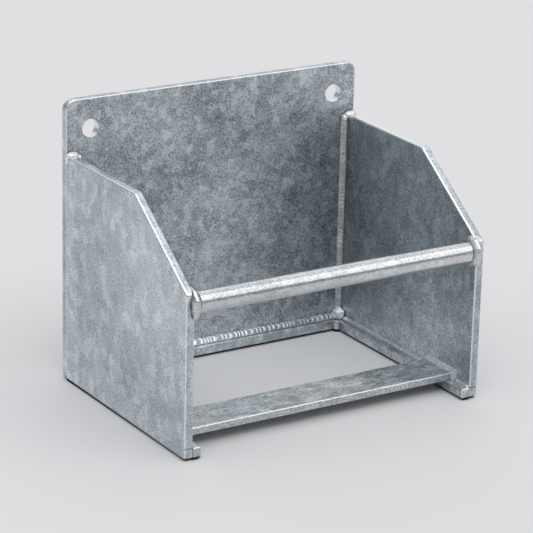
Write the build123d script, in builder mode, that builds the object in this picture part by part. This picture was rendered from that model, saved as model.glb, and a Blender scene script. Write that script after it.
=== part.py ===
"""Wall bracket of welded steel plate: an open-bottomed holder for a block or a canister.

A back plate with two bolt holes carries two side plates. A round bar and a flat bar tie the
side plates together at the front, and three strips on edge make a ledge round the open
bottom. Every joint is a fillet weld, and each weld bead is a piece of its own.

Millimetres. +Z is up, +Y points at the wall, and the origin lies on the floor at the middle
of the overall footprint. Pieces on the right are drawn, and those on the left mirror them.
"""

import os
from math import cos, radians, sin

from build123d import *

# ---------------------------------------------------------------- driving sizes
# plates
overall_width = 220.0  # over the outer faces of the side plates
plate_depth = 160.0  # from the wall face to the front edges of the side plates
back_height = 190.0
back_thickness = 6.0
side_thickness = 6.0
side_height = 154.0  # level top edge of a side plate
knee_depth = 95.0  # from the wall face to where the side plates start to slope
front_height = 108.0  # top of a side plate's upright front edge

# outline corners and edges
back_top_corner = 7.0
back_foot_corner = 4.0
side_corner = 3.0
plate_edge = 1.0  # rounding of the plates' edges
bar_edge = 0.8  # rounding of the edges of bars and strips

# bolt holes in the back plate
hole_diameter = 12.0
hole_from_side = 17.5
hole_from_top = 20.0
hole_edge = 0.6

# bars and strips
round_bar_diameter = 14.0
round_bar_height = 100.5  # axis above the floor
round_bar_setback = 5.0  # axis behind the front edges of the side plates
flat_bar_width = 30.0
flat_bar_thickness = 5.0
flat_bar_setback = 17.5  # front edge behind the front edges of the side plates
strip_thickness = 6.0
strip_height = 8.0
plate_foot_corner = 2.5  # lower outer edge of a side plate
strip_foot_corner = 3.0  # lower inner edges of the strips

# weld beads: leg lengths, and the ripples along them
corner_leg = 3.5
ledge_leg = 4.0
flat_bar_leg = 3.5
strip_leg = 3.0
foot_leg = 1.6
ring_leg = 3.2
ripple_pitch = 6.0
ripple_height = 0.4
bead_angles = [radians(angle) for angle in (0, 30, 60, 90)]
lobe_latitudes = [radians(angle) for angle in (-66, -22, 22, 66)]
lobe_facets = 8
ring_facets = 10

# rounded lobes where beads meet or end
corner_lobe = 6.5
top_outer_lobe = 3.8
top_inner_lobe = 4.2
top_inner_drop = 1.0  # centre of the inner lobe below the side plate's top edge

# ---------------------------------------------------------------- places
bar_radius = round_bar_diameter / 2
ring_reach = bar_radius + ring_leg
overhang = ring_reach - round_bar_setback  # of the ring welds past the front edges
wall_y = (plate_depth + overhang) / 2
joint_y = wall_y - back_thickness  # front face of the back plate
front_y = wall_y - plate_depth
knee_y = wall_y - knee_depth
outer_x = overall_width / 2
inner_x = outer_x - side_thickness  # inner face of the right side plate
strip_x = inner_x - strip_thickness  # inner face of the right side strip
strip_y = joint_y - strip_thickness  # front face of the back strip
round_bar_y = front_y + round_bar_setback
flat_bar_y = front_y + flat_bar_setback  # front edge of the flat bar
flat_bar_top = strip_height + flat_bar_thickness

LEFT, RIGHT = Vector(-1, 0, 0), Vector(1, 0, 0)
FORWARD, UP = Vector(0, -1, 0), Vector(0, 0, 1)


def fillet_bead(start, along, leg_direction, length, leg):
    """Add a rippled bead to the open part.

    It fills the inside corner that runs from start in the direction along. One of its two
    flat sides lies in leg_direction, and the other a quarter turn from it.
    """
    ripples = max(1, round(length / ripple_pitch))
    half_pitch = length / ripples / 2
    sections = []
    for step in range(2 * ripples + 1):
        reach = leg if step % 2 else leg - ripple_height
        middle = Vector(start) + along * (half_pitch * step)
        with BuildSketch(Plane(middle, x_dir=leg_direction, z_dir=along)) as section:
            with BuildLine():
                rim = [(reach * cos(angle), reach * sin(angle)) for angle in bead_angles]
                Polyline((0, 0), *rim, close=True)
            make_face()
        sections.append(section.sketch)
    loft(sections, ruled=True)


def lobe(centre, radius):
    """Add a faceted ball of weld to the open part."""
    sections = []
    for latitude in lobe_latitudes:
        height = Vector(0, 0, radius * sin(latitude))
        with BuildSketch(Plane(Vector(centre) + height)) as section:
            RegularPolygon(radius * cos(latitude), lobe_facets)
        sections.append(section.sketch)
    loft(sections, ruled=True)


# ---------------------------------------------------------------- plates
with BuildPart() as back_plate:
    with BuildSketch(Plane.XZ.offset(-wall_y)) as outline:
        Rectangle(overall_width, back_height, align=(Align.CENTER, Align.MIN))
        fillet(outline.vertices().group_by(Axis.Y)[-1], radius=back_top_corner)
        fillet(outline.vertices().group_by(Axis.Y)[0], radius=back_foot_corner)
    extrude(amount=back_thickness)
    wall_and_front_edges = back_plate.edges().group_by(Axis.Y)
    fillet(wall_and_front_edges[0] + wall_and_front_edges[-1], radius=plate_edge)
    with Locations(Plane.XZ.offset(-wall_y)):
        with Locations((0, back_height - hole_from_top)):
            with GridLocations(overall_width - 2 * hole_from_side, 1, 2, 1):
                Hole(hole_diameter / 2)
    rims = back_plate.edges().filter_by(GeomType.CIRCLE).filter_by(
        lambda edge: abs(edge.radius - hole_diameter / 2) < 1e-6 and edge.is_closed
    )
    chamfer(rims, hole_edge)

with BuildPart() as right_side_plate:
    with BuildSketch(Plane.YZ.offset(inner_x)) as outline:
        with BuildLine():
            Polyline(
                (joint_y, 0),
                (joint_y, side_height),
                (knee_y, side_height),
                (front_y, front_height),
                (front_y, 0),
                close=True,
            )
        make_face()
        fillet(outline.vertices().sort_by(Axis.X)[:-2], radius=side_corner)
    extrude(amount=side_thickness)
    butt_face = right_side_plate.faces().sort_by(Axis.Y)[-1]
    face_edges = right_side_plate.edges().group_by(Axis.X)
    fillet(
        (face_edges[0] + face_edges[-1]) - butt_face.edges(),
        radius=plate_edge,
    )
    with BuildSketch(Plane.XZ.offset(-joint_y)) as front_view:
        with Locations((inner_x, 0)):
            Rectangle(side_thickness, side_height, align=Align.MIN)
        lowest_corners = front_view.vertices().group_by(Axis.Y)[0].sort_by(Axis.X)
        fillet(lowest_corners[-1], radius=plate_foot_corner)
    extrude(amount=joint_y - front_y, mode=Mode.INTERSECT)

with BuildPart() as left_side_plate:
    mirror(right_side_plate.part, about=Plane.YZ)

# ---------------------------------------------------------------- bars and ledge strips
with BuildPart() as round_bar:
    with BuildSketch(Plane.YZ.offset(-inner_x)):
        with Locations((round_bar_y, round_bar_height)):
            Circle(bar_radius)
    extrude(amount=2 * inner_x)

with BuildPart() as flat_bar:
    with BuildSketch(Plane.YZ.offset(-inner_x)) as section:
        with Locations((flat_bar_y, strip_height)):
            Rectangle(flat_bar_width, flat_bar_thickness, align=Align.MIN)
        fillet(section.vertices(), radius=bar_edge)
    extrude(amount=2 * inner_x)

with BuildPart() as right_ledge_strip:
    with BuildSketch(Plane.XZ.offset(-joint_y)) as section:
        with Locations((inner_x, 0)):
            Rectangle(strip_thickness, strip_height, align=(Align.MAX, Align.MIN))
        inner_corners = section.vertices().group_by(Axis.X)[0].sort_by(Axis.Y)
        fillet(inner_corners[0], radius=strip_foot_corner)
        fillet(inner_corners[1], radius=bar_edge)
    extrude(amount=joint_y - front_y)
    front_face = right_ledge_strip.faces().sort_by(Axis.Y)[0]
    fillet(front_face.edges() - front_face.edges().sort_by(Axis.X)[-1:], radius=bar_edge)

with BuildPart() as left_ledge_strip:
    mirror(right_ledge_strip.part, about=Plane.YZ)

with BuildPart() as back_ledge_strip:
    with BuildSketch(Plane.YZ.offset(-strip_x)) as section:
        with Locations((joint_y, 0)):
            Rectangle(strip_thickness, strip_height, align=(Align.MAX, Align.MIN))
        inner_corners = section.vertices().group_by(Axis.X)[0].sort_by(Axis.Y)
        fillet(inner_corners[0], radius=strip_foot_corner)
        fillet(inner_corners[1], radius=bar_edge)
    extrude(amount=2 * strip_x)

# ---------------------------------------------------------------- welds of the back corners
with BuildPart() as right_corner_lobe:
    lobe((inner_x, joint_y, strip_height), corner_lobe)
    with Locations((inner_x, joint_y, strip_height)):
        Box(
            corner_lobe,
            corner_lobe,
            corner_lobe,
            align=(Align.MAX, Align.MAX, Align.MIN),
            mode=Mode.INTERSECT,
        )

with BuildPart() as left_corner_lobe:
    mirror(right_corner_lobe.part, about=Plane.YZ)

with BuildPart() as right_top_weld:
    lobe((outer_x - top_outer_lobe, joint_y, side_height), top_outer_lobe)
    lobe((inner_x, joint_y, side_height - top_inner_drop), top_inner_lobe)
    add(back_plate.part, mode=Mode.SUBTRACT)
    add(right_side_plate.part, mode=Mode.SUBTRACT)
    split(bisect_by=Plane.XZ.offset(-joint_y), keep=Keep.TOP)

with BuildPart() as left_top_weld:
    mirror(right_top_weld.part, about=Plane.YZ)

with BuildPart() as right_corner_weld:
    fillet_bead((inner_x, joint_y, strip_height), UP, LEFT, side_height - strip_height, corner_leg)
    add(right_corner_lobe.part, mode=Mode.SUBTRACT)
    add(right_top_weld.part, mode=Mode.SUBTRACT)

with BuildPart() as left_corner_weld:
    mirror(right_corner_weld.part, about=Plane.YZ)

# ---------------------------------------------------------------- welds of the ledge
with BuildPart() as back_ledge_weld:
    fillet_bead((-inner_x, joint_y, strip_height), RIGHT, UP, 2 * inner_x, ledge_leg)
    add(right_corner_lobe.part, mode=Mode.SUBTRACT)
    add(left_corner_lobe.part, mode=Mode.SUBTRACT)

with BuildPart() as right_ledge_weld:
    fillet_bead(
        (inner_x, joint_y, strip_height),
        FORWARD,
        UP,
        joint_y - flat_bar_y - flat_bar_width,
        ledge_leg,
    )
    add(right_corner_lobe.part, mode=Mode.SUBTRACT)

with BuildPart() as left_ledge_weld:
    mirror(right_ledge_weld.part, about=Plane.YZ)

with BuildPart() as right_strip_weld:
    fillet_bead((strip_x, strip_y, 0), UP, LEFT, strip_height, strip_leg)

with BuildPart() as left_strip_weld:
    mirror(right_strip_weld.part, about=Plane.YZ)

# ---------------------------------------------------------------- welds of the bars
with BuildPart() as right_round_bar_weld:
    # a collar that swells off the bar and dies away on the side plate's front edge
    for height, reach in (-1, 0.15), (-0.5, 0.75), (0, 1), (0.6, 0.6), (1, -0.5):
        with BuildSketch(Plane.YZ.offset(inner_x + height * ring_leg)):
            with Locations((round_bar_y, round_bar_height)):
                RegularPolygon(bar_radius + reach * ring_leg, ring_facets)
    loft(ruled=True)
    add(round_bar.part, mode=Mode.SUBTRACT)
    add(right_side_plate.part, mode=Mode.SUBTRACT)

with BuildPart() as left_round_bar_weld:
    mirror(right_round_bar_weld.part, about=Plane.YZ)

with BuildPart() as right_flat_bar_weld:
    # a flat fillet over the bar's top and down its front, mitred at the front corner
    with Locations((inner_x, flat_bar_y - flat_bar_leg, strip_height)):
        Box(
            flat_bar_leg,
            flat_bar_leg + flat_bar_width,
            flat_bar_leg + flat_bar_thickness,
            align=(Align.MAX, Align.MIN, Align.MIN),
        )
    bar_corner = (inner_x - flat_bar_leg, flat_bar_y, flat_bar_top)
    for way in FORWARD, UP:
        split(bisect_by=Plane(bar_corner, z_dir=LEFT + way), keep=Keep.BOTTOM)
    with Locations((inner_x, flat_bar_y, strip_height)):
        Box(
            flat_bar_leg,
            flat_bar_width,
            flat_bar_thickness,
            align=(Align.MAX, Align.MIN, Align.MIN),
            mode=Mode.SUBTRACT,
        )

with BuildPart() as left_flat_bar_weld:
    mirror(right_flat_bar_weld.part, about=Plane.YZ)

with BuildPart() as right_foot_weld:
    with BuildSketch(Plane.XZ.offset(flat_bar_leg - flat_bar_y)):
        with BuildLine():
            toes = [(inner_x - foot_leg, strip_height), (inner_x, strip_height + foot_leg)]
            Polyline((inner_x, strip_height), *toes, close=True)
        make_face()
    extrude(amount=flat_bar_setback - flat_bar_leg - plate_edge)

with BuildPart() as left_foot_weld:
    mirror(right_foot_weld.part, about=Plane.YZ)

# ---------------------------------------------------------------- files
pieces = {
    "back_plate": back_plate,
    "right_side_plate": right_side_plate,
    "left_side_plate": left_side_plate,
    "round_bar": round_bar,
    "flat_bar": flat_bar,
    "right_ledge_strip": right_ledge_strip,
    "left_ledge_strip": left_ledge_strip,
    "back_ledge_strip": back_ledge_strip,
    "right_corner_lobe": right_corner_lobe,
    "left_corner_lobe": left_corner_lobe,
    "right_top_weld": right_top_weld,
    "left_top_weld": left_top_weld,
    "right_corner_weld": right_corner_weld,
    "left_corner_weld": left_corner_weld,
    "back_ledge_weld": back_ledge_weld,
    "right_ledge_weld": right_ledge_weld,
    "left_ledge_weld": left_ledge_weld,
    "right_strip_weld": right_strip_weld,
    "left_strip_weld": left_strip_weld,
    "right_round_bar_weld": right_round_bar_weld,
    "left_round_bar_weld": left_round_bar_weld,
    "right_flat_bar_weld": right_flat_bar_weld,
    "left_flat_bar_weld": left_flat_bar_weld,
    "right_foot_weld": right_foot_weld,
    "left_foot_weld": left_foot_weld,
}
os.makedirs("parts", exist_ok=True)
for node, piece in pieces.items():
    piece.part.label = node
    export_step(piece.part, f"parts/{node}.step")
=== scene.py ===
"""Looks of the welded steel wall holder: galvanised plates, bars and rippled weld beads."""

from math import cos, pi, radians, sin, sqrt, tau

import bmesh
import bpy
from mathutils import Matrix, Vector, noise


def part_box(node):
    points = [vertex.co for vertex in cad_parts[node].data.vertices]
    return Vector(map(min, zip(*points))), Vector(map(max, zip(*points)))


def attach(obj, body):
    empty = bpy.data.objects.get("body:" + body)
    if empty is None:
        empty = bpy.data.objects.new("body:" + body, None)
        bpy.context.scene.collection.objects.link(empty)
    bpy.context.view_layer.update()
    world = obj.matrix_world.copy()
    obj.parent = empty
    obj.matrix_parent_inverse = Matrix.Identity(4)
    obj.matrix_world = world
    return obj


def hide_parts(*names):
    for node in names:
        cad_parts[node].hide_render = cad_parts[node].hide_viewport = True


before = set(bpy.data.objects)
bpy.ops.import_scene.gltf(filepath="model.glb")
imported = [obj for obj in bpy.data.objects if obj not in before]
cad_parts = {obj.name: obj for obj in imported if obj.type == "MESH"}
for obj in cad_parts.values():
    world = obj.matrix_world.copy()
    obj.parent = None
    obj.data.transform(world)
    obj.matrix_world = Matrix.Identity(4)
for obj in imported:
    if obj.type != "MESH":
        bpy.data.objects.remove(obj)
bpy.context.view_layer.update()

# ---------------------------------------------------------------- sizes, in metres
MM = 0.001
back_low, back_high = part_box("back_plate")
side_low, side_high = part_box("right_side_plate")
flat_low, flat_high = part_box("flat_bar")
round_low, round_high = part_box("round_bar")
strip_low, strip_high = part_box("right_ledge_strip")
rear_strip_low, rear_strip_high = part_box("back_ledge_strip")

OUTER_X = back_high.x
WALL_Y = back_high.y
JOINT_Y = back_low.y  # front face of the back plate
FRONT_Y = side_low.y
INNER_X = side_low.x
SIDE_TOP = side_high.z
STRIP_X = strip_low.x
STRIP_TOP = strip_high.z
FLAT_TOP = flat_high.z
BAR_RADIUS = (round_high.z - round_low.z) / 2
BAR_Y = (round_high.y + round_low.y) / 2
BAR_Z = (round_high.z + round_low.z) / 2

KNEE_Y = WALL_Y - 95 * MM
FRONT_TOP = 108 * MM
SIDE_CORNER = 3 * MM
BACK_TOP_CORNER = 7 * MM
BACK_FOOT_CORNER = 4 * MM
EDGE_START, EDGE_RUN = 2 * MM, 6 * MM  # how far from a corner an edge takes on its own rounding
PLATE_EDGE = 1 * MM
SLOPE_EDGE = 1.5 * MM  # wider rounding along the level and sloping top edges of the side plates
PLATE_FOOT = 2.5 * MM  # rounding of the side plates' lower outer edges
STRIP_FOOT = 3 * MM  # rounding of the strips' lower inner edges
BAR_EDGE = 0.8 * MM
BACK_EDGE = 0.75 * MM  # rounding of the back plate's edges
BUTT_EDGE = 0.15 * MM  # edges that meet another piece
SEAM = 0.45 * MM  # grooves on the front edges, level with the ledge and beside the strips' ends
HOLE_RADIUS = 6 * MM
HOLE_EDGE = 0.2 * MM
HOLE_FROM_SIDE = 17.5 * MM
HOLE_FROM_TOP = 20 * MM

CORNER_LEG = 3.5 * MM
BACK_LEDGE_LEG = 4 * MM
SIDE_LEDGE_LEG = 2.5 * MM
FLAT_LEG = 2.6 * MM
STRIP_LEG = 3 * MM
FOOT_LEG = 1.6 * MM
BEAD_SINK = 0.25 * MM  # how far a bead's root lies inside the plates

LEFT, RIGHT = Vector((-1, 0, 0)), Vector((1, 0, 0))
FORWARD, UP = Vector((0, -1, 0)), Vector((0, 0, 1))

# ---------------------------------------------------------------- materials


def add_node(tree, kind, inputs=None, **settings):
    node = tree.nodes.new(kind)
    for name, value in settings.items():
        setattr(node, name, value)
    for name, value in (inputs or {}).items():
        if isinstance(value, bpy.types.NodeSocket):
            tree.links.new(value, node.inputs[name])
        else:
            node.inputs[name].default_value = value
    return node


def math(tree, operation, a, b=0.0):
    return add_node(tree, "ShaderNodeMath", {0: a, 1: b}, operation=operation).outputs[0]


def vector_math(tree, operation, a, b):
    return add_node(tree, "ShaderNodeVectorMath", {0: a, 1: b}, operation=operation).outputs[0]


def noise_value(tree, vector, scale, detail=3.0, roughness=0.55):
    inputs = {"Vector": vector, "Scale": scale, "Detail": detail, "Roughness": roughness}
    return add_node(tree, "ShaderNodeTexNoise", inputs).outputs["Fac"]


def cell_tone(tree, vector, scale, channel):
    """A random tone for each cell of a spangle pattern."""
    cells = add_node(tree, "ShaderNodeTexVoronoi", {"Vector": vector, "Scale": scale})
    split = add_node(tree, "ShaderNodeSeparateColor", {"Color": cells.outputs["Color"]})
    return split.outputs[channel]


def ramp(tree, value, low, high):
    """0 at low and 1 at high, held beyond them; high may be the smaller of the two."""
    inputs = {"Value": value, "From Min": low, "From Max": high}
    return add_node(tree, "ShaderNodeMapRange", inputs).outputs["Result"]


def added(tree, value, *parts):
    """value plus each part, which varies about 0.5, times its amount."""
    for part, amount in parts:
        swing = math(tree, "MULTIPLY", math(tree, "SUBTRACT", part, 0.5), amount)
        value = math(tree, "ADD", value, swing)
    return value


def blend_colour(tree, factor, first, second):
    """Colour between first and second."""
    node = add_node(tree, "ShaderNodeMix", {"Factor": factor}, data_type="RGBA", clamp_factor=True)
    for socket, value in ((node.inputs[6], first), (node.inputs[7], second)):
        if isinstance(value, bpy.types.NodeSocket):
            tree.links.new(value, socket)
        else:
            socket.default_value = (*value, 1)
    return node.outputs[2]


# noises, per metre
WARP_SCALE = 330.0
CLOUD_SCALE = 60.0
DRIFT_SCALE = 12.0
FLECK_SCALE = 700.0
SPECKLE_SCALE = 1900.0

WARP_REACH = 3.2 * MM  # how far the spangle's outlines are frayed
SMALL_CELL = 1.3  # how much finer the second layer of spangle is
FLAKE_FROM, FLAKE_TO = 0.77, 0.81  # tone of the small cells from which they are pale flakes
MIDDLE_TONE = 0.47
CORNER_SHADE_REACH = 100 * MM  # over which shade is painted into inner corners
SHADED_CORNER_LEVEL, OPEN_FACE_LIFT = 0.40, 0.70  # painted brightness of a closed corner, and what open faces add, so inner corners get painted shade
LIT_LOW_TOP, LIT_FOOT_TOP = 80 * MM, 25 * MM  # heights below which light is painted on, making the zinc brighter towards the floor
CONTACT_SHADE_FULL, CONTACT_SHADE_TOP = 1.7 * MM, 2.2 * MM  # height above the floor of the painted contact shadow, a dark line along bottom edges
DRIFT_PLACE = (1.63, 0.22, 0.9)  # where the broad clouds are read from their noise
DENT_DEPTH = 0.6 * MM

# colour of bare metal, used for real wear and for painted highlights
BARE_ZINC_AND_SHEEN = (0.86, 0.89, 0.91)
LIGHT_ZINC = (0.71, 0.771, 0.808)
DARK_ZINC = (0.176, 0.203, 0.223)
# colour of painted shade: contact shadows, crevices, seams and weld toes
PAINTED_SHADE = (0.025, 0.03, 0.033)
BARE_GLOSS = 0.18  # how much less rough bare metal is

SHADED_WALL = -0.13  # mark of the plates' front and sloping edge faces: a little painted shade
CREVICE = -0.5  # marks below this paint the shade of crevices, which have no bright rims


def galvanised(name, light, dark, stretch=(1, 1, 1), patch=7.0, rough=0.42, contrast=1.0, grain=1.0,
               bump=1.0, metal=1.0):
    """Hot-dip galvanised zinc: clouded spangle with pale flakes under fine speckle.

    patch is the size of a spangle cell in millimetres. A vertex attribute is 1 where the metal
    is bare and bright, partly real wear and partly a painted highlight, and -1 where shade is
    painted into crevices.
    """
    material = bpy.data.materials.new(name)
    material.use_nodes = True
    tree = material.node_tree
    shader = tree.nodes["Principled BSDF"]
    place = add_node(tree, "ShaderNodeTexCoord").outputs["Object"]
    height = add_node(tree, "ShaderNodeSeparateXYZ", {"Vector": place}).outputs["Z"]
    place = vector_math(tree, "MULTIPLY", place, stretch)

    warp_inputs = {"Vector": place, "Scale": WARP_SCALE, "Detail": 3.0, "Roughness": 0.65}
    warp = add_node(tree, "ShaderNodeTexNoise", warp_inputs).outputs["Color"]
    shift = vector_math(tree, "SUBTRACT", warp, (0.5, 0.5, 0.5))
    bent = vector_math(tree, "ADD", place, vector_math(tree, "MULTIPLY", shift, (WARP_REACH,) * 3))
    per_metre = 1000 / patch
    big = cell_tone(tree, bent, per_metre, 0)
    small = cell_tone(tree, bent, per_metre * SMALL_CELL, 1)
    flake = ramp(tree, small, FLAKE_FROM, FLAKE_TO)
    cloud = noise_value(tree, bent, CLOUD_SCALE, 4.0, 0.6)
    drift = noise_value(tree, vector_math(tree, "ADD", place, DRIFT_PLACE), DRIFT_SCALE, 2.0)
    fleck = noise_value(tree, place, FLECK_SCALE, 2.0, 0.6)
    speckle = noise_value(tree, place, SPECKLE_SCALE, 1.0, 0.6)

    cells = (big, 0.26 * contrast), (small, 0.08 * contrast)
    clouds = (cloud, 0.8 * contrast), (drift, 0.9 * contrast)
    grains = (fleck, 1.0 * grain), (speckle, 1.9 * grain)
    tone = added(tree, MIDDLE_TONE, *cells, *clouds, *grains)
    tone = math(tree, "ADD", tone, math(tree, "MULTIPLY", flake, 0.23 * contrast))
    colour = blend_colour(tree, tone, dark, light)

    # painted shade darkens the zinc in inner corners, and painted light brightens it towards the floor
    occlusion = add_node(tree, "ShaderNodeAmbientOcclusion", {"Distance": CORNER_SHADE_REACH}, samples=6)
    openness = math(tree, "MULTIPLY", occlusion.outputs["AO"], OPEN_FACE_LIFT)
    low = ramp(tree, height, LIT_LOW_TOP, 0.0)
    foot = ramp(tree, height, LIT_FOOT_TOP, 0.0)
    painted_low_light = added(tree, 0.27, (low, 0.24), (foot, 0.30))
    painted_light_level = math(tree, "ADD", math(tree, "ADD", openness, SHADED_CORNER_LEVEL), painted_low_light)
    dimming = {0: colour, "Scale": painted_light_level}
    colour = add_node(tree, "ShaderNodeVectorMath", dimming, operation="SCALE").outputs[0]

    wear_and_painted_light = add_node(tree, "ShaderNodeAttribute", attribute_name="wear_and_painted_light").outputs["Fac"]
    # bare, bright metal: partly real wear and partly a painted highlight
    bare = math(tree, "MULTIPLY", wear_and_painted_light, added(tree, 0.95, (cloud, 0.5), (fleck, 0.6)))
    colour = blend_colour(tree, bare, colour, BARE_ZINC_AND_SHEEN)
    # painted shade: a dark contact line along the bottom edges, and shade in crevices, seams and weld toes
    bottom = ramp(tree, height, CONTACT_SHADE_TOP, CONTACT_SHADE_FULL)
    painted_shade_mask = math(tree, "MAXIMUM", math(tree, "MULTIPLY", wear_and_painted_light, -1.0), bottom)
    colour = blend_colour(tree, painted_shade_mask, colour, PAINTED_SHADE)
    tree.links.new(colour, shader.inputs["Base Color"])

    gloss = added(tree, rough, (small, 0.10 * bump), (cloud, 0.3 * bump), (fleck, 0.3 * bump))
    gloss = math(tree, "SUBTRACT", gloss, math(tree, "MULTIPLY", wear_and_painted_light, BARE_GLOSS))
    tree.links.new(gloss, shader.inputs["Roughness"])
    shader.inputs["Metallic"].default_value = metal
    relief = added(tree, 0.0, (big, 0.12), (flake, 0.12), (cloud, 0.5), (fleck, 0.5), (speckle, 0.35))
    dent_inputs = {"Height": relief, "Strength": 0.35 * bump, "Distance": DENT_DEPTH}
    dents = add_node(tree, "ShaderNodeBump", dent_inputs)
    tree.links.new(dents.outputs["Normal"], shader.inputs["Normal"])
    return material


plate_zinc = galvanised("plate_zinc", LIGHT_ZINC, DARK_ZINC, grain=1.2)
side_zinc = galvanised("side_zinc", (0.80, 0.87, 0.912), (0.238, 0.27, 0.296),
                       stretch=(1, 1, 0.75), contrast=0.75, grain=1.15)
round_zinc = galvanised("round_zinc", (0.80, 0.823, 0.838), (0.32, 0.338, 0.351),
                        stretch=(0.6, 1, 1), patch=5.0, rough=0.25, contrast=0.5, grain=0.7, bump=0.12)
flat_zinc = galvanised("flat_zinc", (0.745, 0.772, 0.79), (0.275, 0.294, 0.307),
                       stretch=(0.4, 1, 1), patch=5.0, rough=0.50, contrast=0.6, grain=1.1, bump=1.4)
strip_zinc = galvanised("strip_zinc", LIGHT_ZINC, DARK_ZINC, patch=5.0)
weld_zinc = galvanised("weld_zinc", (0.76, 0.79, 0.81), (0.29, 0.313, 0.33),
                       patch=3.0, rough=0.36, contrast=0.9, grain=0.9, bump=0.8)
cap_zinc = galvanised("cap_zinc", (0.84, 0.87, 0.885), (0.34, 0.37, 0.39),
                      patch=3.0, rough=0.38, contrast=0.5, grain=1.2, metal=0.5)
collar_zinc = galvanised("collar_zinc", (0.78, 0.81, 0.825), (0.30, 0.325, 0.34),
                         patch=3.0, rough=0.30, contrast=0.5, grain=1.0, metal=0.9)

# ---------------------------------------------------------------- mesh helpers


def piece(name, mesh, material, slot, *nodes):
    """Put a mesh into the scene as a piece that stands for CAD nodes."""
    thing = bpy.data.objects.new(name, mesh)
    bpy.context.scene.collection.objects.link(thing)
    mesh.materials.append(material)
    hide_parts(*nodes)
    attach(thing, "root")
    return thing


def crisp(thing):
    """Keep large faces flat between their rounded edges."""
    modifier = thing.modifiers.new("flat_faces", "WEIGHTED_NORMAL")
    modifier.weight = 100
    return thing


def finished(work, name, doubles=0.005 * MM):
    """Mesh of a bmesh, closed, facing outward and smoothly shaded."""
    bmesh.ops.remove_doubles(work, verts=work.verts, dist=doubles)
    bmesh.ops.recalc_face_normals(work, faces=work.faces)
    mesh = bpy.data.meshes.new(name)
    work.to_mesh(mesh)
    work.free()
    for polygon in mesh.polygons:
        polygon.use_smooth = True
    return mesh


def axes(x_axis, y_axis, origin):
    """Matrix that takes local x, y, z to the two given directions and their cross product."""
    x_axis, y_axis = Vector(x_axis), Vector(y_axis)
    matrix = Matrix((x_axis, y_axis, x_axis.cross(y_axis))).transposed().to_4x4()
    matrix.translation = Vector(origin)
    return matrix


def mirrored(name, mesh):
    """A left-hand copy of a right-hand mesh."""
    copy = mesh.copy()
    copy.name = name
    copy.transform(Matrix.Scale(-1, 4, (1, 0, 0)))
    copy.flip_normals()
    return copy


def pair(name, mesh, material, slot):
    """A right-hand piece and its left-hand mirror."""
    twin = mirrored("left_" + name, mesh)
    right = piece("right_" + name + "_zinc", mesh, material, slot, "right_" + name)
    left = piece("left_" + name + "_zinc", twin, material, slot, "left_" + name)
    return right, left


# ---------------------------------------------------------------- rounded slabs


def corner_arc(corner, before, after, radius, steps=6):
    """Points of the arc that rounds a corner of a 2D outline."""
    corner, before, after = Vector(corner), Vector(before), Vector(after)
    into, out = (before - corner).normalized(), (after - corner).normalized()
    half = into.angle(out) / 2
    reach = radius / (sin(half) / cos(half))
    centre = corner + (into + out).normalized() * radius / sin(half)
    start, end = corner + into * reach - centre, corner + out * reach - centre
    turn = start.angle_signed(end)
    return [centre + Matrix.Rotation(-turn * i / steps, 2) @ start for i in range(steps + 1)]


def rounded_outline(corners, radii):
    """2D outline whose corners are rounded, a radius for each."""
    points = []
    for i, (corner, radius) in enumerate(zip(corners, radii)):
        if radius:
            points += corner_arc(corner, corners[i - 1], corners[(i + 1) % len(corners)], radius)
        else:
            points.append(Vector(corner))
    return points


def circle(centre, radius, steps=48):
    """2D points of a circle, clockwise, as the outline of a hole."""
    turns = [-tau * i / steps for i in range(steps)]
    return [Vector(centre) + radius * Vector((cos(turn), sin(turn))) for turn in turns]


def inward(loop):
    """Mitred direction into the material at each point of a loop.

    Outlines run anticlockwise and holes clockwise.
    """
    ways = []
    for i, point in enumerate(loop):
        before, after = point - loop[i - 1], loop[(i + 1) % len(loop)] - point
        first = Vector((-before.y, before.x)).normalized()
        second = Vector((-after.y, after.x)).normalized()
        ways.append((first + second) / (1 + first.dot(second)))
    return ways


def edge_wear_and_sheen(angle, radius, wall):
    """Mark on a rounding, from the flat face (angle 0) to the wall between the two roundings.

    The middle of a rounding is bare, bright metal, partly real wear and partly a painted
    highlight, unless the wall's mark paints the shade of a crevice there.
    """
    if wall < CREVICE:
        return wall * sin(angle)
    rim = sin(2 * angle) if radius > BUTT_EDGE else 0.0
    if wall < 0:
        return rim + wall * sin(angle) ** 4
    return max(rim, wall * sin(angle))


def slab(name, loops, frame_of, thickness, edge_of, steps=5):
    """Plate with rounded edges. Its first loop is the outline and the others are holes.

    edge_of gives, for a loop's number and a 2D point, the rounding radii on the far and the
    near side and the mark of the wall between them: bare and bright above 0, partly real wear and
    partly a painted highlight, and painted shade below 0.
    """
    work = bmesh.new()
    wear_and_painted_light = work.verts.layers.float.new("wear_and_painted_light")
    half = thickness / 2
    caps = {-1: [], 1: []}
    for number, loop in enumerate(loops):
        rings = []
        ways = inward(loop)
        for side, pick in ((-1, 0), (1, 1)):
            for step in (range(steps + 1) if side < 0 else range(steps, -1, -1)):
                angle = pi / 2 * step / steps
                ring = []
                for point, way in zip(loop, ways):
                    *radii, wall = edge_of(number, point)
                    radius = radii[pick]
                    flat = point + way * radius * (1 - sin(angle))
                    vertex = work.verts.new((flat.x, flat.y, side * (half - radius * (1 - cos(angle)))))
                    vertex[wear_and_painted_light] = edge_wear_and_sheen(angle, radius, wall)
                    ring.append(vertex)
                rings.append(ring)
        count = len(loop)
        for first, second in zip(rings, rings[1:]):
            for i in range(count):
                j = (i + 1) % count
                work.faces.new((first[i], first[j], second[j], second[i]))
        caps[-1].append(rings[0])
        caps[1].append(rings[-1])
    for rims in caps.values():
        edges = [work.edges.get((ring[i - 1], ring[i])) for ring in rims for i in range(len(ring))]
        bmesh.ops.triangle_fill(work, use_beauty=True, edges=edges)
    mesh = finished(work, name)
    mesh.transform(frame_of)
    return mesh


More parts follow.
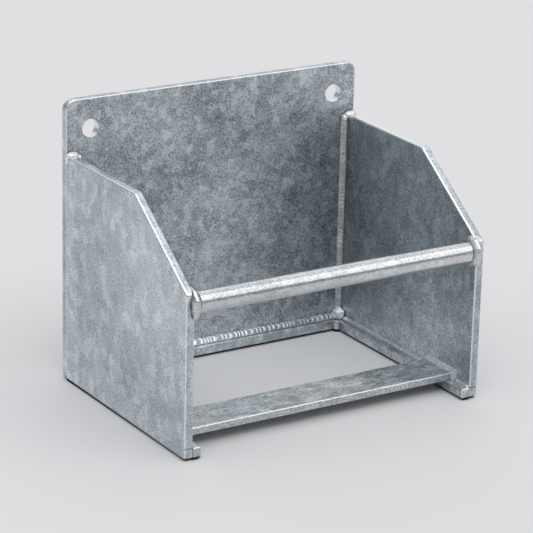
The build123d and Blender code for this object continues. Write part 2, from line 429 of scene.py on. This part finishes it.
def build_plates():
    corners = [(-OUTER_X, 0), (OUTER_X, 0), (OUTER_X, back_high.z), (-OUTER_X, back_high.z)]
    radii = [BACK_FOOT_CORNER, BACK_FOOT_CORNER, BACK_TOP_CORNER, BACK_TOP_CORNER]
    hole_x, hole_z = OUTER_X - HOLE_FROM_SIDE, back_high.z - HOLE_FROM_TOP
    holes = [circle((side * hole_x, hole_z), HOLE_RADIUS) for side in (-1, 1)]
    stand = axes(RIGHT, UP, (0, (WALL_Y + JOINT_Y) / 2, 0))

    def back_edges(number, point):
        # the holes' walls are marked bare and bright, partly real wear and partly a painted highlight
        return (HOLE_EDGE, HOLE_EDGE, 0.9) if number else (BACK_EDGE, BACK_EDGE, 0.05)

    back = slab("back_plate", [rounded_outline(corners, radii), *holes], stand, WALL_Y - JOINT_Y, back_edges)
    crisp(piece("back_plate_zinc", back, plate_zinc, "galvanised_plate", "back_plate"))

    slope = Vector((KNEE_Y - FRONT_Y, SIDE_TOP - FRONT_TOP)).normalized()
    front_tip = Vector((FRONT_Y, FRONT_TOP))
    seam = Vector((FRONT_Y + SEAM, STRIP_TOP))
    outline = [
        ((JOINT_Y, 0), 0),
        ((JOINT_Y, SIDE_TOP), 0),
        ((JOINT_Y - EDGE_START, SIDE_TOP), 0),
        ((KNEE_Y + EDGE_RUN, SIDE_TOP), 0),
        ((KNEE_Y, SIDE_TOP), SIDE_CORNER),
        (front_tip + slope * EDGE_RUN, 0),
        (front_tip, SIDE_CORNER),
        ((FRONT_Y, FRONT_TOP - EDGE_RUN), 0),
        ((FRONT_Y, STRIP_TOP + SEAM), 0),
        (seam, 0),
        ((FRONT_Y, STRIP_TOP - SEAM), 0),
        ((FRONT_Y, 0), SIDE_CORNER),
    ]
    stand = axes((0, 1, 0), UP, ((OUTER_X + INNER_X) / 2, 0, 0))

    def side_edges(number, point):
        if point.x > JOINT_Y - PLATE_EDGE:
            return BUTT_EDGE, BUTT_EDGE, 0
        # the front tip is marked bare and bright, partly real wear and partly a painted highlight
        if (point - front_tip).length < SIDE_CORNER:
            return SLOPE_EDGE, SLOPE_EDGE, 0.8
        # the level top face is marked bare and bright, partly real wear and partly a painted highlight; the
        # sloping face gets a little painted shade
        if point.y > FRONT_TOP:
            return SLOPE_EDGE, SLOPE_EDGE, SHADED_WALL if point.x < KNEE_Y + EDGE_START else 1.0
        inner = SEAM if point.y < STRIP_TOP - SEAM / 2 else PLATE_EDGE
        outer = PLATE_EDGE + (PLATE_FOOT - PLATE_EDGE) * max(0.0, 1 - point.y / SIDE_CORNER)
        # painted shade in the seam's groove, and a little on the front edge face
        return inner, outer, -1 if (point - seam).length < SEAM / 2 else SHADED_WALL

    loop = rounded_outline(*zip(*outline))
    side = slab("right_side_plate", [loop], stand, OUTER_X - INNER_X, side_edges)
    for thing in pair("side_plate", side, side_zinc, "galvanised_plate"):
        crisp(thing)


def build_strips():
    def strip_edges(number, point):
        # painted shade along the end of the strip where it meets the plate
        if point.x > INNER_X - 0.99 * SEAM:
            return BUTT_EDGE, SEAM, -1
        return BUTT_EDGE, BAR_EDGE, 0.1

    def butt_edges(number, point):
        return BUTT_EDGE, BUTT_EDGE, 0.1

    corners = [(STRIP_X, 0), (INNER_X, 0), (INNER_X, STRIP_TOP), (STRIP_X, STRIP_TOP)]
    outline = rounded_outline(corners, [STRIP_FOOT, SEAM, SEAM, BAR_EDGE])
    stand = axes(RIGHT, UP, (0, (JOINT_Y + FRONT_Y) / 2, 0))
    side = slab("right_ledge_strip", [outline], stand, JOINT_Y - FRONT_Y, strip_edges)
    for thing in pair("ledge_strip", side, strip_zinc, "galvanised_strip"):
        crisp(thing)
    low, high = rear_strip_low, rear_strip_high
    corners = [(low.y, 0), (high.y, 0), (high.y, high.z), (low.y, high.z)]
    outline = rounded_outline(corners, [STRIP_FOOT, BUTT_EDGE, BUTT_EDGE, BAR_EDGE])
    rear = slab("back_ledge_strip", [outline], axes((0, 1, 0), UP, (0, 0, 0)), high.x - low.x, butt_edges)
    crisp(piece("back_ledge_strip_zinc", rear, strip_zinc, "galvanised_strip", "back_ledge_strip"))


# ---------------------------------------------------------------- bars


def lofted(name, rings, marks, closed_ends=True, ridge=0.0):
    """Closed mesh through rings of as many points each, with the marks of the points: bare and
    bright above 0, partly real wear and partly a painted highlight, and painted shade below 0.

    Ridges sharper than 22 degrees are bevelled by ridge, and the middles of the bevels are marked
    bare and bright, partly real wear and partly a painted highlight.
    """
    work = bmesh.new()
    wear_and_painted_light = work.verts.layers.float.new("wear_and_painted_light")
    loops = [[work.verts.new(point) for point in ring] for ring in rings]
    count = len(loops[0])
    for loop, values in zip(loops, marks):
        for vertex, value in zip(loop, values):
            vertex[wear_and_painted_light] = value
    for first, second in zip(loops, loops[1:]):
        for i in range(count):
            j = (i + 1) % count
            work.faces.new((first[i], first[j], second[j], second[i]))
    if closed_ends:
        work.faces.new(loops[0])
        work.faces.new(loops[-1])
    if ridge:
        bmesh.ops.remove_doubles(work, verts=work.verts, dist=0.005 * MM)
        soften(work, ridge, 22)
        wear_and_sheen_ridges(work, 0.9, 0.7 * MM * MM)
    return finished(work, name)


def soften(work, width, angle):
    """Bevel the edges whose faces meet at more than angle degrees."""
    bmesh.ops.recalc_face_normals(work, faces=work.faces)
    ridges = [edge for edge in work.edges if edge.calc_face_angle(0) > radians(angle)]
    bmesh.ops.bevel(
        work, geom=ridges, offset=width, segments=2, profile=0.5, clamp_overlap=True, affect="EDGES"
    )


def wear_and_sheen_ridges(work, ridge, limit, facet=None):
    """Give the mark ridge to the vertices that lie only on faces smaller than limit.

    These are in the middle of the bevels, where the bright mark is partly real wear and partly a
    painted highlight. The others get the mark facet, or keep their own.
    """
    wear_and_painted_light = work.verts.layers.float["wear_and_painted_light"]
    for vertex in work.verts:
        if vertex[wear_and_painted_light] > CREVICE and all(face.calc_area() < limit for face in vertex.link_faces):
            vertex[wear_and_painted_light] = ridge
        elif facet is not None:
            vertex[wear_and_painted_light] = facet


def build_bars():
    front, rear, bottom = flat_low.y, flat_high.y, flat_low.z
    corners = [(front, bottom), (rear, bottom), (rear, FLAT_TOP), (front, FLAT_TOP)]
    outline, wear_and_sheen_marks = [], []
    for i, corner in enumerate(corners):
        arc = corner_arc(corner, corners[i - 1], corners[(i + 1) % 4], BAR_EDGE)
        outline += arc
        # the middle of each rounding is marked bare and bright, partly real wear and partly a painted
        # highlight
        wear_and_sheen_marks += [sin(pi * step / (len(arc) - 1)) for step in range(len(arc))]
    stations = 90
    rings = []
    for step in range(stations + 1):
        x = INNER_X * (2 * step / stations - 1)
        ring = []
        for point in outline:
            wave = 0.05 * MM * noise.noise(Vector((x * 70, point.x * 90, 3)))
            ring.append(Vector((x, point.x, point.y + wave)))
        rings.append(ring)
    flat = lofted("flat_bar", rings, [wear_and_sheen_marks] * len(rings))
    crisp(piece("flat_bar_zinc", flat, flat_zinc, "galvanised_bar", "flat_bar"))

    stations, around = 208, 72
    rings = []
    for step in range(stations + 1):
        x = INNER_X * (2 * step / stations - 1)
        ring = []
        for i in range(around):
            ray = Vector((0, cos(tau * i / around), sin(tau * i / around)))
            at = Vector((x, 0, 0)) + ray * BAR_RADIUS
            dip = 0.05 * abs(noise.noise(at * 60)) + 0.02 * abs(noise.noise(at * 330))
            ring.append(Vector((0, BAR_Y, BAR_Z)) + at - ray * dip * MM)
        rings.append(ring)
    bar = lofted("round_bar", rings, [[0.0] * around] * len(rings))
    piece("round_bar_zinc", bar, round_zinc, "galvanised_bar", "round_bar")


# ---------------------------------------------------------------- welds


TOE_SHADE_MARKS = (-0.1, -0.5, -0.7)  # painted shade along a bead's toes, from inside out
TOE_GAP = 0.8 * MM  # how far the painted shade round a ball of weld metal reaches from the plates
TOE_SHADE = -0.85  # mark of that painted shade
BEAD_STEP = 0.3 * MM


def ripple(phase):
    """Height, 0 to 1, of a stack of overlapping weld ripples: a steep front and a long back."""
    return sqrt(max(0.0, 1 - (phase % 1.0) ** 2))


def bead(name, start, along, first, second, length, leg, seed, pitch=3.0 * MM, height=0.4 * MM, bow=0.55,
         taper=(0.0, 0.0), shine=(0.2, 0.2), uneven=0.35, flat=0.17, toe_dark=1.0, sharp=0.1, body_shade=0.0):
    """Rippled fillet bead from start, along a corner between the directions first and second.

    The lengths of first and second stretch the leg each way. shine is how bare and bright the
    crests of the ripples are, at the start and at the end, partly real wear and partly a painted
    highlight; sharp, below 0.5, makes these crests narrower, and the last argument paints shade
    over the rest of the bead. flat is 0 for a round bead and 0.29 for a straight one.
    """
    start, along, first, second = Vector(start), Vector(along), Vector(first), Vector(second)
    steps = max(8, round(length / BEAD_STEP))
    arc_steps = 12
    rings, marks = [], []
    for step in range(steps + 1):
        run = length * step / steps
        size = leg * (1 + 0.08 * noise.noise(Vector((run * 90, seed, 0.3))))
        for end, reach in ((run, taper[0]), (length - run, taper[1])):
            if reach and end < reach:
                size *= sqrt(max(0.03, 1 - (1 - end / reach) ** 2))
        root = start + along * run - (first + second) * BEAD_SINK
        stretch = uneven * noise.noise(Vector((run * 110, seed, 5.1)))
        bare = shine[0] + (shine[1] - shine[0]) * run / length
        bare *= 1 + 1.2 * noise.noise(Vector((run * 60, seed, 8.7)))
        ring, mark = [root], [0.0]
        for i in range(arc_steps + 1):
            angle = pi / 2 * i / arc_steps
            crown = sin(2 * angle)
            lift = ripple(run / pitch + stretch - bow * crown) - 0.5
            lump = 0.08 * noise.noise(Vector((run * 700, angle * 2, seed)))
            radius = (size + BEAD_SINK) * (1 - flat * crown) + height * crown * (lift + lump)
            ring.append(root + (first * cos(angle) + second * sin(angle)) * radius)
            # painted shade along the toes; the crests are marked bare and bright, partly real wear and
            # partly a painted highlight, and painted shade lies over the rest
            toe = 2 - min(i, arc_steps - i)
            crest = 0.8 * max(0.0, lift - sharp) / (0.5 - sharp)
            mark.append(TOE_SHADE_MARKS[toe] * toe_dark if toe >= 0 else bare * crest - body_shade)
        rings.append(ring)
        marks.append(mark)
    return lofted(name, rings, marks)


def nugget(name, centre, radii, seed, rough=0.12, facet=0.5, coarse=False):
    """Ball of weld metal with the given radii in millimetres: flat facets between bright ridges,
    marked bare and bright, partly real wear and partly a painted highlight.

    Shade is painted where it meets the plates; a coarse one has fewer facets and lies in the
    corner, so this shade runs along its outline on two sides.
    """
    work = bmesh.new()
    work.verts.layers.float.new("wear_and_painted_light")
    bmesh.ops.create_icosphere(work, subdivisions=1 if coarse else 2, radius=1)
    for vertex in work.verts:
        ray = vertex.co.normalized()
        swell = 1 + rough * noise.noise(ray * 2.3 + Vector((seed, 2, 0)))
        vertex.co = Vector(ray[i] * (radii[i] * MM) * swell for i in range(3))
    soften(work, 0.35 * MM, 5)
    wear_and_sheen_ridges(work, 1.0, (2.2 if coarse else 0.7) * MM * MM, facet)
    bmesh.ops.translate(work, verts=work.verts, vec=Vector(centre))
    bmesh.ops.subdivide_edges(work, edges=work.edges[:], cuts=2, use_grid_fill=True)
    wear_and_painted_light = work.verts.layers.float["wear_and_painted_light"]
    # painted shade where the ball meets the plates
    for vertex in work.verts:
        gap = JOINT_Y - vertex.co.y
        if coarse:
            gap = min(gap, INNER_X - vertex.co.x)
        if gap < TOE_GAP:
            vertex[wear_and_painted_light] = TOE_SHADE
    return finished(work, name)


def joined(name, *meshes):
    """One mesh of several."""
    work = bmesh.new()
    for mesh in meshes:
        work.from_mesh(mesh)
    result = bpy.data.meshes.new(name)
    work.to_mesh(result)
    work.free()
    for mesh in meshes:
        bpy.data.meshes.remove(mesh)
    return result


def build_corner_welds():
    corner = Vector((INNER_X, JOINT_Y, STRIP_TOP))
    length = SIDE_TOP - STRIP_TOP
    # broader on the back plate than on the side plate
    upright = bead("right_corner_weld", corner, UP, LEFT * 1.35, FORWARD * 0.65, length, CORNER_LEG, 1.0,
                   pitch=2.8 * MM, height=0.35 * MM, shine=(0.5, 0.3), uneven=0.9, flat=0.22, body_shade=0.16)
    pair("corner_weld", upright, weld_zinc, "weld_bead")
    centre = corner + Vector((-2.1, -2.6, 3.0)) * MM
    lobe = nugget("right_corner_lobe", centre, (5.7, 5.4, 5.2), 4.0, facet=0.8, coarse=True)
    for thing in pair("corner_lobe", lobe, cap_zinc, "weld_bead"):
        crisp(thing)
    top = Vector((INNER_X, JOINT_Y, SIDE_TOP))
    lobes = [
        nugget("cap", top + Vector((2.2, -1.5, -0.2)) * MM, (4.9, 3.4, 2.8), 7.0, facet=0.7),
        nugget("droop", top + Vector((-2.2, -1.3, -2.3)) * MM, (2.4, 2.4, 2.6), 9.0, facet=0.9),
        nugget("drip", top + Vector((6.2, -1.6, -2.6)) * MM, (1.2, 1.8, 3.2), 11.0, facet=0.6),
    ]
    for thing in pair("top_weld", joined("right_top_weld", *lobes), cap_zinc, "weld_bead"):
        crisp(thing)


def build_ledge_welds():
    start = (-INNER_X, JOINT_Y, STRIP_TOP)
    rear = bead("back_ledge_weld", start, RIGHT, UP, FORWARD, 2 * INNER_X, BACK_LEDGE_LEG, 2.0,
                pitch=3.5 * MM, height=0.28 * MM, shine=(1.5, 0.5), uneven=1.3, sharp=0.42, body_shade=0.48)
    piece("back_ledge_weld_zinc", rear, weld_zinc, "weld_bead", "back_ledge_weld")
    run = bead("right_ledge_weld", (INNER_X, JOINT_Y, STRIP_TOP), FORWARD, UP, LEFT, JOINT_Y - flat_high.y,
               SIDE_LEDGE_LEG, 3.0, pitch=2.2 * MM, height=0.12 * MM, shine=(0.9, 1.7), toe_dark=0.6)
    pair("ledge_weld", run, weld_zinc, "weld_bead")
    start = (STRIP_X, rear_strip_low.y, 0)
    upright = bead("right_strip_weld", start, UP, LEFT, FORWARD, STRIP_TOP, STRIP_LEG, 6.0, height=0.25 * MM)
    pair("strip_weld", upright, weld_zinc, "weld_bead")


def flat_bar_weld():
    """Flat fillet over the end of the flat bar, down its front, mitred at the front corner."""
    plate = INNER_X + BEAD_SINK
    tip = INNER_X - FLAT_LEG
    front, rear, bottom, top = flat_low.y, flat_high.y, STRIP_TOP - BEAD_SINK, FLAT_TOP
    toe = front - FLAT_LEG - BEAD_SINK
    crest = top + FLAT_LEG + BEAD_SINK
    sunk_front, sunk_top = front + BEAD_SINK, top - BEAD_SINK
    places = [
        (tip, front, top), (tip, rear, top), (tip, front, bottom), (plate, toe, crest), (plate, rear, crest),
        (plate, toe, bottom), (tip, sunk_front, bottom), (tip, sunk_front, sunk_top), (tip, rear, sunk_top),
        (plate, sunk_front, bottom), (plate, sunk_front, sunk_top), (plate, rear, sunk_top),
    ]
    faces = [
        (0, 3, 4, 1), (0, 2, 5, 3), (1, 4, 11, 8), (2, 6, 9, 5), (0, 1, 8, 7),
        (0, 7, 6, 2), (7, 8, 11, 10), (6, 7, 10, 9), (3, 5, 9, 10), (3, 10, 11, 4),
    ]
    work = bmesh.new()
    work.verts.layers.float.new("wear_and_painted_light")
    corners = [work.verts.new(place) for place in places]
    for face in faces:
        work.faces.new([corners[i] for i in face])
    soften(work, 0.3 * MM, 20)
    # bright ridges, partly real wear and partly a painted highlight
    wear_and_sheen_ridges(work, 1.0, 8 * MM * MM, 0.2)
    return finished(work, "right_flat_bar_weld")


COLLAR_FACETS = 10
COLLAR_ROOT = 7.5  # millimetres from the bar's axis inside which the collar doesn't swell
COLLAR_CONTACT_SHADE = -0.7  # mark of the painted shade line where the collar meets the plate's front edge

# the part of the collar's profile inside the bracket: place across the plate's inner face and
# distance from the bar's axis, both in millimetres, and the mark: painted shade below 0 at the
# root by the bar, and bare, bright metal above 0, partly real wear and partly a painted highlight
COLLAR_PROFILE = [
    (-4.2, 6.8, -0.7),
    (-3.9, 7.35, -0.7),
    (-3.3, 7.5, -0.6),
    (-3.1, 8.0, 0.0),
    (-2.3, 9.2, 0.15),
    (-0.8, 10.5, 0.2),
]


def ring_weld():
    """Faceted collar round the end of the round bar, which dies away on the plate's front edge."""
    profile = list(COLLAR_PROFILE)
    for step in range(7):
        angle = pi / 2 * step / 6
        profile.append((0.2 + 2.8 * sin(angle), 4.4 + 6.2 * cos(angle), 0.1))
    profile += [(2.0, 3.8, 0), (0.0, 4.0, 0)]
    rings, marks = [], []
    for step in range(COLLAR_FACETS):
        turn = tau * (step + 0.3) / COLLAR_FACETS + 0.15 * noise.noise(Vector((step * 2.9, 4.1, 0.5)))
        size = 1 + 0.2 * noise.noise(Vector((step * 3.7, 1.3, 0.5)))
        ray = Vector((0, cos(turn), sin(turn)))
        ring, mark = [], []
        for across, distance, bare in profile:
            swell = max(0.0, distance - COLLAR_ROOT) * MM * (size - 1)
            point = Vector((INNER_X + across * MM, BAR_Y, BAR_Z)) + ray * (distance * MM + swell)
            on_edge = across > 1.1 and BAR_Y > point.y > FRONT_Y - 1.1 * MM
            ring.append(point)
            mark.append(COLLAR_CONTACT_SHADE if on_edge else bare)
        rings.append(ring)
        marks.append(mark)
    rings.append(rings[0])
    marks.append(marks[0])
    return lofted("right_round_bar_weld", rings, marks, closed_ends=False, ridge=0.3 * MM)


def build_bar_welds():
    for thing in pair("flat_bar_weld", flat_bar_weld(), flat_zinc, "weld_bead"):
        crisp(thing)
    start = (INNER_X, flat_low.y - FLAT_LEG, STRIP_TOP)
    length = flat_low.y - FLAT_LEG - FRONT_Y - PLATE_EDGE
    toe = bead("right_foot_weld", start, FORWARD, UP, LEFT, length, FOOT_LEG, 14.0,
               height=0.08 * MM, taper=(0, 1.5 * MM))
    pair("foot_weld", toe, weld_zinc, "weld_bead")
    for thing in pair("round_bar_weld", ring_weld(), collar_zinc, "weld_bead"):
        crisp(thing)


build_plates()
build_strips()
build_bars()
build_corner_welds()
build_ledge_welds()
build_bar_welds()

# ---------------------------------------------------------------- floor, lights and camera


FLOOR_REACH = 6.0  # metres from the middle to each side
FLOOR_COLOUR = (0.695, 0.695, 0.709, 1)
WORLD_STRENGTH = 0.32


def build_floor():
    mesh = bpy.data.meshes.new("floor")
    signs = [(-1, -1), (1, -1), (1, 1), (-1, 1)]
    mesh.from_pydata([(x * FLOOR_REACH, y * FLOOR_REACH, 0) for x, y in signs], [], [(0, 1, 2, 3)])
    surface = bpy.data.objects.new("floor", mesh)
    bpy.context.scene.collection.objects.link(surface)
    material = bpy.data.materials.new("pale_floor")
    material.use_nodes = True
    shader = material.node_tree.nodes["Principled BSDF"]
    shader.inputs["Base Color"].default_value = FLOOR_COLOUR
    shader.inputs["Roughness"].default_value = 1.0
    shader.inputs["Specular IOR Level"].default_value = 0.0
    mesh.materials.append(material)


def soft_sun(name, toward, strength, spread):
    """A wide, even lamp that shines from the direction toward; spread is its width in degrees."""
    lamp = bpy.data.lights.new(name, "SUN")
    lamp.energy = strength
    lamp.angle = radians(spread)
    thing = bpy.data.objects.new(name, lamp)
    bpy.context.scene.collection.objects.link(thing)
    thing.location = Vector(toward)
    thing.rotation_euler = Vector(toward).to_track_quat("Z", "Y").to_euler()


def build_lights():
    world = bpy.data.worlds.new("studio")
    bpy.context.scene.world = world
    world.use_nodes = True
    background = world.node_tree.nodes["Background"]
    background.inputs["Color"].default_value = (1.0, 1.0, 1.0, 1)
    background.inputs["Strength"].default_value = WORLD_STRENGTH
    soft_sun("front_right", (0.504, -0.55, 0.66), 0.50, 44)
    soft_sun("overhead_right", (0.45, 0.12, 0.88), 0.45, 56)
    soft_sun("overhead_left", (-0.42, -0.05, 0.90), 0.85, 64)
    soft_sun("front_high", (-0.15, -0.45, 0.88), 0.70, 44)
    soft_sun("behind", (0.22, 0.84, 0.48), 0.52, 64)


# the camera that the photograph's corners give
CAMERA_AZIMUTH = radians(32.237)
CAMERA_ELEVATION = radians(19.116)
CAMERA_ROLL = radians(1.399)
CAMERA_DISTANCE = 1.7004
CAMERA_TARGET = Vector((0, 0.0085, 0.0822))
FOCAL_PIXELS = 2628.7
PHOTO_PIXELS = 533
SENSOR_WIDTH = 36


def build_camera():
    camera = bpy.data.cameras.new("camera")
    camera.sensor_width = SENSOR_WIDTH
    camera.lens = SENSOR_WIDTH * FOCAL_PIXELS / PHOTO_PIXELS
    camera.clip_end = 20
    level_part = cos(CAMERA_ELEVATION)
    ahead = Vector((
        sin(CAMERA_AZIMUTH) * level_part,
        cos(CAMERA_AZIMUTH) * level_part,
        -sin(CAMERA_ELEVATION),
    ))
    level = ahead.cross(UP).normalized()
    upright = level.cross(ahead)
    right = level * cos(CAMERA_ROLL) + upright * sin(CAMERA_ROLL)
    matrix = Matrix((right, right.cross(ahead), -ahead)).transposed().to_4x4()
    matrix.translation = CAMERA_TARGET - ahead * CAMERA_DISTANCE
    thing = bpy.data.objects.new("camera", camera)
    bpy.context.scene.collection.objects.link(thing)
    thing.matrix_world = matrix
    bpy.context.scene.camera = thing


build_floor()
build_lights()
build_camera()
bpy.context.scene.view_settings.view_transform = "Standard"
